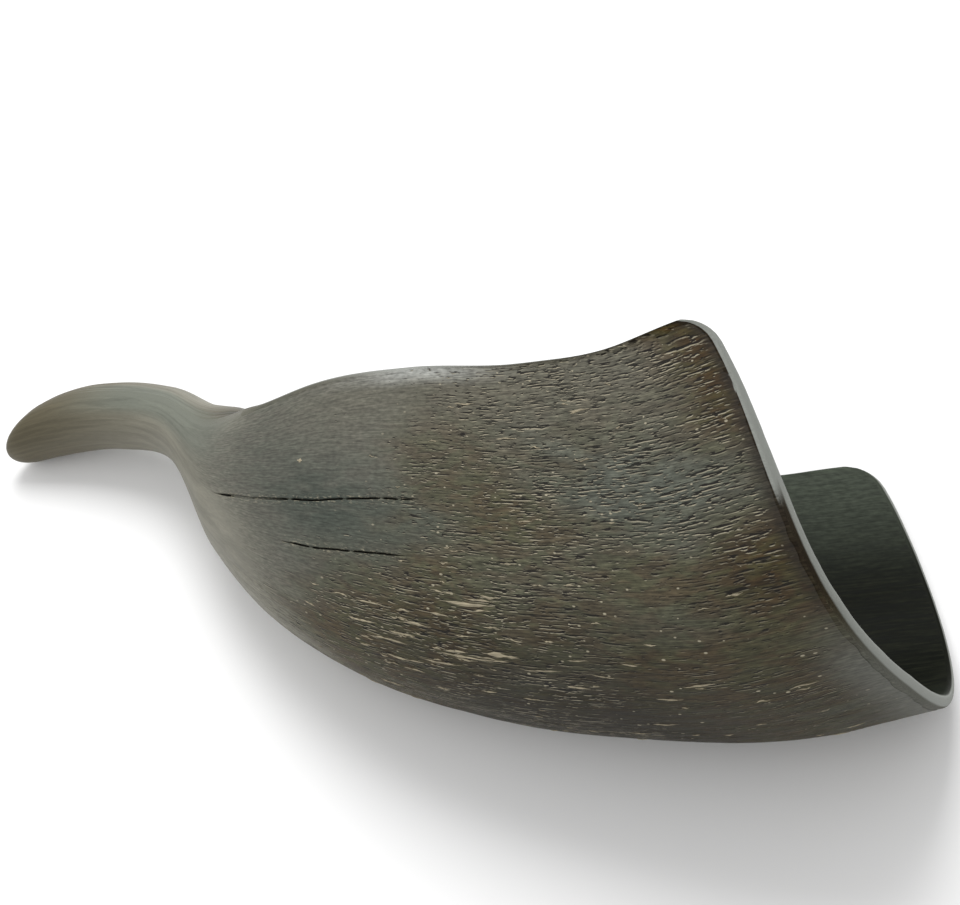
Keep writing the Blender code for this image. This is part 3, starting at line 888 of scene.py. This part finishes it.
class Graph:
    """Short ways to add shader nodes and link them."""

    def __init__(self, material):
        material.use_nodes = True
        self.tree = material.node_tree
        self.shader = self.tree.nodes["Principled BSDF"]

    def node(self, kind, **settings):
        made = self.tree.nodes.new(kind)
        for key, value in settings.items():
            setattr(made, key, value)
        return made

    def put(self, value, socket):
        if isinstance(value, bpy.types.NodeSocket):
            self.tree.links.new(value, socket)
        elif isinstance(value, tuple) and len(value) == 3 and socket.type == "RGBA":
            socket.default_value = (*value, 1.0)
        else:
            socket.default_value = value

    def math(self, operation, a, b=0.0, clamp=False):
        made = self.node("ShaderNodeMath", operation=operation, use_clamp=clamp)
        self.put(a, made.inputs[0])
        self.put(b, made.inputs[1])
        return made.outputs[0]

    def times(self, a, b):
        return self.math("MULTIPLY", a, b)

    def minus(self, a, b):
        return self.math("SUBTRACT", a, b)

    def mask(self, name, amount=1.0):
        """A mask of the mesh, times the amount."""
        made = self.node("ShaderNodeAttribute", attribute_name=name).outputs["Fac"]
        return made if amount == 1.0 else self.times(made, amount)

    def fibre(self, long, wide, shift=(0.0, 0.0, 0.0)):
        """The fibre coordinates with a cell this long and this wide, in millimetres."""
        source = self.node("ShaderNodeAttribute", attribute_name="fibre").outputs["Vector"]
        scaled = self.node("ShaderNodeMapping")
        scaled.inputs["Location"].default_value = shift
        scaled.inputs["Scale"].default_value = (1.0 / long, 1.0 / wide, 1.0)
        self.put(source, scaled.inputs["Vector"])
        return scaled.outputs["Vector"]

    def noise(self, vector, detail=3.0, distortion=0.0):
        made = self.node("ShaderNodeTexNoise")
        self.put(vector, made.inputs["Vector"])
        made.inputs["Scale"].default_value = 1.0
        made.inputs["Detail"].default_value = detail
        made.inputs["Distortion"].default_value = distortion
        return made.outputs["Fac"]

    def set_range(self, node, *numbers):
        for name, number in zip(("From Min", "From Max", "To Min", "To Max"), numbers):
            node.inputs[name].default_value = number

    def between(self, value, low, high, to_low=0.0, to_high=1.0):
        """The value's place between low and high, smoothly, as a share."""
        made = self.node("ShaderNodeMapRange", interpolation_type="SMOOTHSTEP")
        self.put(value, made.inputs["Value"])
        self.set_range(made, low, high, to_low, to_high)
        return made.outputs["Result"]

    def mix(self, share, a, b, blend="MIX"):
        made = self.node("ShaderNodeMix", data_type="RGBA", blend_type=blend)
        self.put(share, made.inputs["Factor"])
        self.put(a, made.inputs["A"])
        self.put(b, made.inputs["B"])
        return made.outputs["Result"]

    def dots(self, size, shift, chance):
        """Small round dots, in some of the cells of a pattern."""
        made = self.node("ShaderNodeTexVoronoi", voronoi_dimensions="2D")
        self.put(self.fibre(size * 1.3, size, shift), made.inputs["Vector"])
        made.inputs["Scale"].default_value = 1.0
        parts = self.node("ShaderNodeSeparateColor")
        self.put(made.outputs["Color"], parts.inputs["Color"])
        chosen = self.math("GREATER_THAN", parts.outputs["Red"], 1.0 - chance)
        size = self.math("MULTIPLY_ADD", parts.outputs["Green"], 0.16)
        size.node.inputs[2].default_value = 0.05
        near = self.minus(size, made.outputs["Distance"])
        return self.times(self.between(near, -0.03, 0.08), chosen)

    def slit(self, x, v, waver, start, end, v_start, v_end):
        """One dark slit that narrows to nothing at both ends."""
        line = self.node("ShaderNodeMapRange")
        self.put(x, line.inputs["Value"])
        self.set_range(line, start, end, v_start, v_end)
        place = self.math("ADD", v, waver)
        away = self.math("ABSOLUTE", self.minus(place, line.outputs["Result"]))
        opening = self.between(x, start, start + 2.0)
        closing = self.between(x, end - 3.0, end, 1.0, 0.0)
        width = self.times(self.times(opening, closing), SLIT_WIDTH)
        return self.between(self.minus(width, away), -0.02, 0.08)


def slits(g, rough, calm):
    """Dark slits along the fibres with painted shadow, and a painted highlight below each. Rough surfaces
    have more of them.
    """
    x_v = g.node("ShaderNodeSeparateXYZ")
    g.put(g.fibre(1.0, 1.0), x_v.inputs["Vector"])
    x, v = x_v.outputs["X"], x_v.outputs["Y"]
    patches = g.noise(g.fibre(17.0, 9.0, (4.0, 9.0, 0.0)), 2.0)
    limit = g.between(rough, 0.0, 1.0, 0.735, 0.575)
    limit = g.math("ADD", limit, g.between(patches, 0.32, 0.68, 0.045, -0.018))
    limit = g.math("ADD", limit, g.times(calm, 0.040))
    found = []
    for shift, spread in ((0.0, (-0.012, 0.036)), (HIGHLIGHT_OFFSET, (0.0, 0.060))):
        small = g.noise(g.fibre(2.4, 0.48, (31.3, shift / 0.48 + 17.0, 0.0)), 2.0)
        large = g.noise(g.fibre(6.5, 0.55, (7.0, shift / 0.55 + 3.0, 0.0)), 2.0)
        large = g.minus(large, 0.025)
        deep = g.math("MAXIMUM", g.minus(small, limit), g.minus(large, limit))
        found.append(g.between(deep, *spread))
    waver = g.times(g.minus(g.noise(g.fibre(4.0, 30.0), 2.0), 0.5), 1.4)
    dark, pale = found
    # The painted highlight lies just below each slit.
    below = g.math("ADD", v, HIGHLIGHT_OFFSET * 1.3)
    for row in SLITS:
        dark = g.math("MAXIMUM", dark, g.slit(x, v, waver, *row))
        pale = g.math("MAXIMUM", pale, g.slit(x, below, waver, *row))
    pale = g.times(pale, g.minus(1.0, dark))
    return dark, pale


def outer_colour(g, cloud, tint, rough):
    """The colours of the outside, from the pale tip over the grey and brown body to the mouth. The dark
    belly is painted shade, and the blue-grey, the cut edges, the lip and the notch carry painted light.
    """
    body = g.mix(g.between(tint, 0.40, 0.60), BROWN, OLIVE)
    # Painted shade: the belly darker.
    body = g.mix(g.mask("belly", 0.92), body, BELLY_SHADE_BROWN)
    body = g.mix(g.mask("smooth", 0.70), body, SMOOTH_GREY)
    # Blue-grey, partly a painted sheen.
    blue = g.times(g.mask("blue"), g.between(cloud, 0.30, 0.55, 0.5, 1.0))
    body = g.mix(blue, body, g.mix(rough, GREY_BLUE_AND_SHEEN, NEAR_BLUE_AND_SHEEN))
    # Painted light along the cut edges.
    body = g.mix(g.mask("top", 0.80), body, LIT_EDGE_GREY)
    brown = g.mix(g.between(tint, 0.42, 0.60), WARM_BROWN, WARM_OLIVE)
    warm = g.times(g.mask("warm"), g.between(cloud, 0.30, 0.55, 0.75, 1.0))
    body = g.mix(warm, body, brown)
    # Grey by the lip, partly a painted highlight.
    body = g.mix(g.mask("lip"), body, LIP_GREY_AND_HIGHLIGHT)

    horn = g.mix(g.mask("tip"), PALE_GREY, TIP_BROWN)
    horn = g.mix(g.mask("upper", 0.75), horn, UPPER_GREY)
    horn = g.mix(1.0, horn, g.between(cloud, 0.30, 0.70, 0.86, 1.14), "MULTIPLY")
    body = g.mix(g.mask("pale"), body, horn)
    # Wear with a painted sheen, and the painted highlight in the notch.
    worn = g.times(g.mask("worn"), g.between(cloud, 0.30, 0.60, 0.75, 1.0))
    return g.mix(worn, body, WEAR_AND_HIGHLIGHT_GREY)


def inner_colour(g, streak, thread):
    """The dark streaked lining, lighter towards the cut edges and the lip. Its darkness deep in the hollow
    is partly painted shade.
    """
    # Darker deep in the hollow: the lining's colour and painted shade.
    deep = g.mix(g.between(streak, 0.40, 0.70), INSIDE_DARK_AND_SHADE, INSIDE_LIGHT)
    deep = g.mix(g.times(g.between(thread, 0.55, 0.75), 0.6), deep, INSIDE_LIGHT)
    # Lighter by the cut edges and the lip, where the painted shade of the hollow ends.
    deep = g.mix(g.mask("top"), deep, INSIDE_TOP)
    return g.mix(g.mask("lip", 0.8), deep, INSIDE_TOP)


def grained(g, body, streak, thread, rough, plain):
    """The colour with its grain: broad streaks, fine threads and small specks."""
    grain = g.math("MAXIMUM", rough, g.between(g.mask("pale"), 0.0, 1.0, 0.55, 0.06))
    share = g.times(grain, plain)
    light = g.mix(1.0, body, g.between(streak, 0.28, 0.72, 0.74, 1.26), "MULTIPLY")
    body = g.mix(share, body, light)
    fine = g.mix(1.0, body, g.between(thread, 0.25, 0.75, 0.60, 1.42), "MULTIPLY")
    body = g.mix(share, body, fine)
    speckle = g.noise(g.fibre(1.5, 0.8, (5.0, 2.0, 0.0)), 3.0)
    specks = g.mix(1.0, body, g.between(speckle, 0.30, 0.70, 0.80, 1.20), "MULTIPLY")
    return g.mix(g.times(g.between(grain, 0.1, 0.5, 0.35, 1.0), plain), body, specks)


def grooves_and_flecks(g, cloud, rough, outer):
    """Shares of the dark grooves with their painted shadow, and of the pale lines (painted highlights),
    dots and chips.
    """
    calm = g.mask("calm")
    dark, pale = slits(g, rough, calm)
    lit = g.times(g.times(pale, outer), g.between(cloud, 0.35, 0.60, 0.25, 0.90))
    lit = g.times(lit, g.between(calm, 0.0, 1.0, 1.0, 0.45))
    chips = g.between(g.noise(g.fibre(1.1, 0.5, (2.0, 6.0, 0.0)), 2.0), 0.56, 0.62)
    lit = g.math("MAXIMUM", lit, g.times(chips, g.mask("crack_side", 0.8)))
    dots = g.times(g.dots(1.5, (0.0, 0.0, 0.0), 0.06), rough)
    lit = g.math("MAXIMUM", lit, g.times(dots, outer))
    return g.times(dark, outer), lit


def horn_colour(g):
    """The base colour of every horn surface, and the shares of grooves with painted shadow and of flecks
    with painted highlights, which the bump uses.
    """
    cloud = g.noise(g.fibre(14.0, 7.0), 4.0, 0.6)
    tint = g.noise(g.fibre(7.0, 3.4, (3.1, 7.7, 0.0)), 4.0, 0.8)
    streak = g.noise(g.fibre(9.0, 0.85), 3.0, 0.3)
    thread = g.noise(g.fibre(3.6, 0.34, (11.0, 5.0, 0.0)), 2.0, 0.4)
    rough, inside = g.mask("rough"), g.between(g.mask("inside"), 0.25, 0.90)

    body = g.mix(inside, outer_colour(g, cloud, tint, rough), inner_colour(g, streak, thread))
    body = g.mix(g.mask("line", 0.85), body, LINE_BROWN)
    rim = g.between(g.mask("edge"), 0.30, 0.70)
    body = g.mix(g.times(rim, 0.95), body, RIM_GREY)
    plain = g.minus(1.0, g.times(rim, 0.85))
    body = grained(g, body, streak, thread, rough, plain)

    covered = g.math("MAXIMUM", inside, g.mask("line"))
    outer = g.times(g.minus(1.0, covered), plain)
    dark, lit = grooves_and_flecks(g, cloud, rough, outer)
    # Painted highlights and pale flecks, then the dark slits with their painted shadow.
    body = g.mix(g.times(lit, 0.90), body, FLECK_AND_HIGHLIGHT)
    body = g.mix(g.times(dark, 0.92), body, CRACK_AND_SHADOW_BLACK)
    body = g.mix(g.between(g.mask("crack"), 0.15, 0.45), body, CRACK_AND_SHADOW_BLACK)
    return body, dark, lit, streak, thread, rough


def add_bump(g, height, strength, distance_m):
    bump = g.node("ShaderNodeBump")
    bump.inputs["Strength"].default_value = strength
    bump.inputs["Distance"].default_value = distance_m
    g.put(height, bump.inputs["Height"])
    g.put(bump.outputs["Normal"], g.shader.inputs["Normal"])


def horn_material(name, specular):
    """Horn: scraped, weathered or lined, as the zones on the mesh say."""
    material = bpy.data.materials.new(name)
    g = Graph(material)
    colour, dark, lit, streak, thread, rough = horn_colour(g)
    g.put(colour, g.shader.inputs["Base Color"])
    uneven = g.between(streak, 0.2, 0.8, 0.40, 0.54)
    g.put(g.math("ADD", uneven, g.times(rough, 0.12)), g.shader.inputs["Roughness"])
    g.shader.inputs["IOR"].default_value = HORN_IOR
    g.shader.inputs["Specular IOR Level"].default_value = specular
    height = g.math("ADD", g.times(streak, 0.7), g.times(thread, 0.45))
    height = g.times(height, g.between(rough, 0.0, 1.0, 0.10, 1.0))
    height = g.math("ADD", height, g.times(lit, 0.5))
    height = g.minus(height, g.times(dark, 0.9))
    add_bump(g, height, 0.7, 0.00025)
    return material


def splinter_material():
    """Dry, pale splinters of the outer layer."""
    material = bpy.data.materials.new("pale_splinters")
    g = Graph(material)
    thread = g.noise(g.fibre(2.4, 0.25), 2.0, 0.4)
    colour = g.mix(g.between(thread, 0.30, 0.70), tuple(0.55 * c for c in SPLINTER), SPLINTER)
    g.put(colour, g.shader.inputs["Base Color"])
    g.shader.inputs["Roughness"].default_value = 0.75
    add_bump(g, thread, 0.5, 0.0001)
    return material


# ----------------------------------------------------------------------------
# Floor, light and camera.

# The camera in the scoop's own frame: what it looks at and how far off it is, in metres, its direction
# and turn in degrees, and its lens in millimetres.
VIEW_AT = Vector((0.0750, -0.0146, -0.0091))
VIEW_AZIMUTH = 31.73
VIEW_ELEVATION = -17.56
VIEW_ROLL = 10.0
VIEW_DISTANCE = 0.6913
VIEW_LENS = 119.9
SENSOR = 36.0
FLOOR_SIZE = 6.0
FLOOR_WHITE = 0.90
SKY_STRENGTH = 0.80


def own_frame():
    """The scoop's own frame as a matrix in the row's frame."""
    turn = Euler((REST_ROLL, REST_PITCH, 0.0)).to_matrix().to_4x4()
    return Matrix.Translation(Vector(STAND)) @ turn


def view_axes():
    """Directions to the right and up in the picture and towards the camera, in the scoop's own frame."""
    a, e, roll = math.radians(VIEW_AZIMUTH), math.radians(VIEW_ELEVATION), math.radians(VIEW_ROLL)
    toward = Vector((math.sin(a) * math.cos(e), -math.cos(a) * math.cos(e), math.sin(e)))
    level = Vector((math.cos(a), math.sin(a), 0.0))
    upright = toward.cross(level)
    right = level * math.cos(roll) + upright * math.sin(roll)
    return right, toward.cross(right), toward


def add_camera():
    right, up, toward = view_axes()
    place = VIEW_AT + toward * VIEW_DISTANCE
    data = bpy.data.cameras.new("view")
    data.lens = VIEW_LENS
    data.sensor_width = SENSOR
    data.clip_start = 0.01
    camera = new_object("view", data)
    axes = Matrix((right, up, toward)).transposed().to_4x4()
    camera.matrix_world = own_frame() @ Matrix.Translation(place) @ axes
    bpy.context.scene.camera = camera


def add_light(name, toward, distance, size, power_w):
    """A soft square light that faces the middle of the scoop from this direction of the row's frame."""
    low, high = CAD_BOX
    middle = (Vector(low) + Vector(high)) / 2.0
    data = bpy.data.lights.new(name, "AREA")
    data.shape = "SQUARE"
    data.size = size
    data.energy = power_w
    light = new_object(name, data)
    away = Vector(toward).normalized()
    light.location = middle + away * distance
    light.rotation_euler = away.to_track_quat("Z", "Y").to_euler()


def add_floor():
    size = FLOOR_SIZE
    mesh = bpy.data.meshes.new("floor")
    corners = [(-size, -size, 0.0), (size, -size, 0.0), (size, size, 0.0), (-size, size, 0.0)]
    mesh.from_pydata(corners, [], [(0, 1, 2, 3)])
    material = bpy.data.materials.new("pale_floor")
    g = Graph(material)
    g.shader.inputs["Base Color"].default_value = (FLOOR_WHITE, FLOOR_WHITE, FLOOR_WHITE, 1.0)
    g.shader.inputs["Roughness"].default_value = 0.9
    mesh.materials.append(material)
    floor = new_object("floor", mesh)


def add_world():
    world = bpy.data.worlds.new("soft_room")
    world.use_nodes = True
    sky = world.node_tree.nodes["Background"]
    sky.inputs["Color"].default_value = (1.0, 1.0, 1.0, 1.0)
    sky.inputs["Strength"].default_value = SKY_STRENGTH
    bpy.context.scene.world = world


def add_studio():
    add_floor()
    add_world()
    turn = own_frame().to_3x3()
    right, up, toward = (turn @ axis for axis in view_axes())
    add_light("key", up * 1.0 + toward * 0.45 - right * 0.15, 0.9, 0.55, 6.5)
    add_light("fill", toward * 1.0 - right * 0.6 + up * 0.2, 1.1, 0.8, 0.5)
    bpy.context.scene.view_settings.view_transform = "Standard"


STAND = stand_location()
handle_piece(horn_material("scraped_surface", 0.18))
skin_piece(horn_material("weathered_surface", 0.18))
lining_piece(horn_material("dark_surface", 0.04))
sliver_piece(splinter_material())
add_camera()
add_studio()
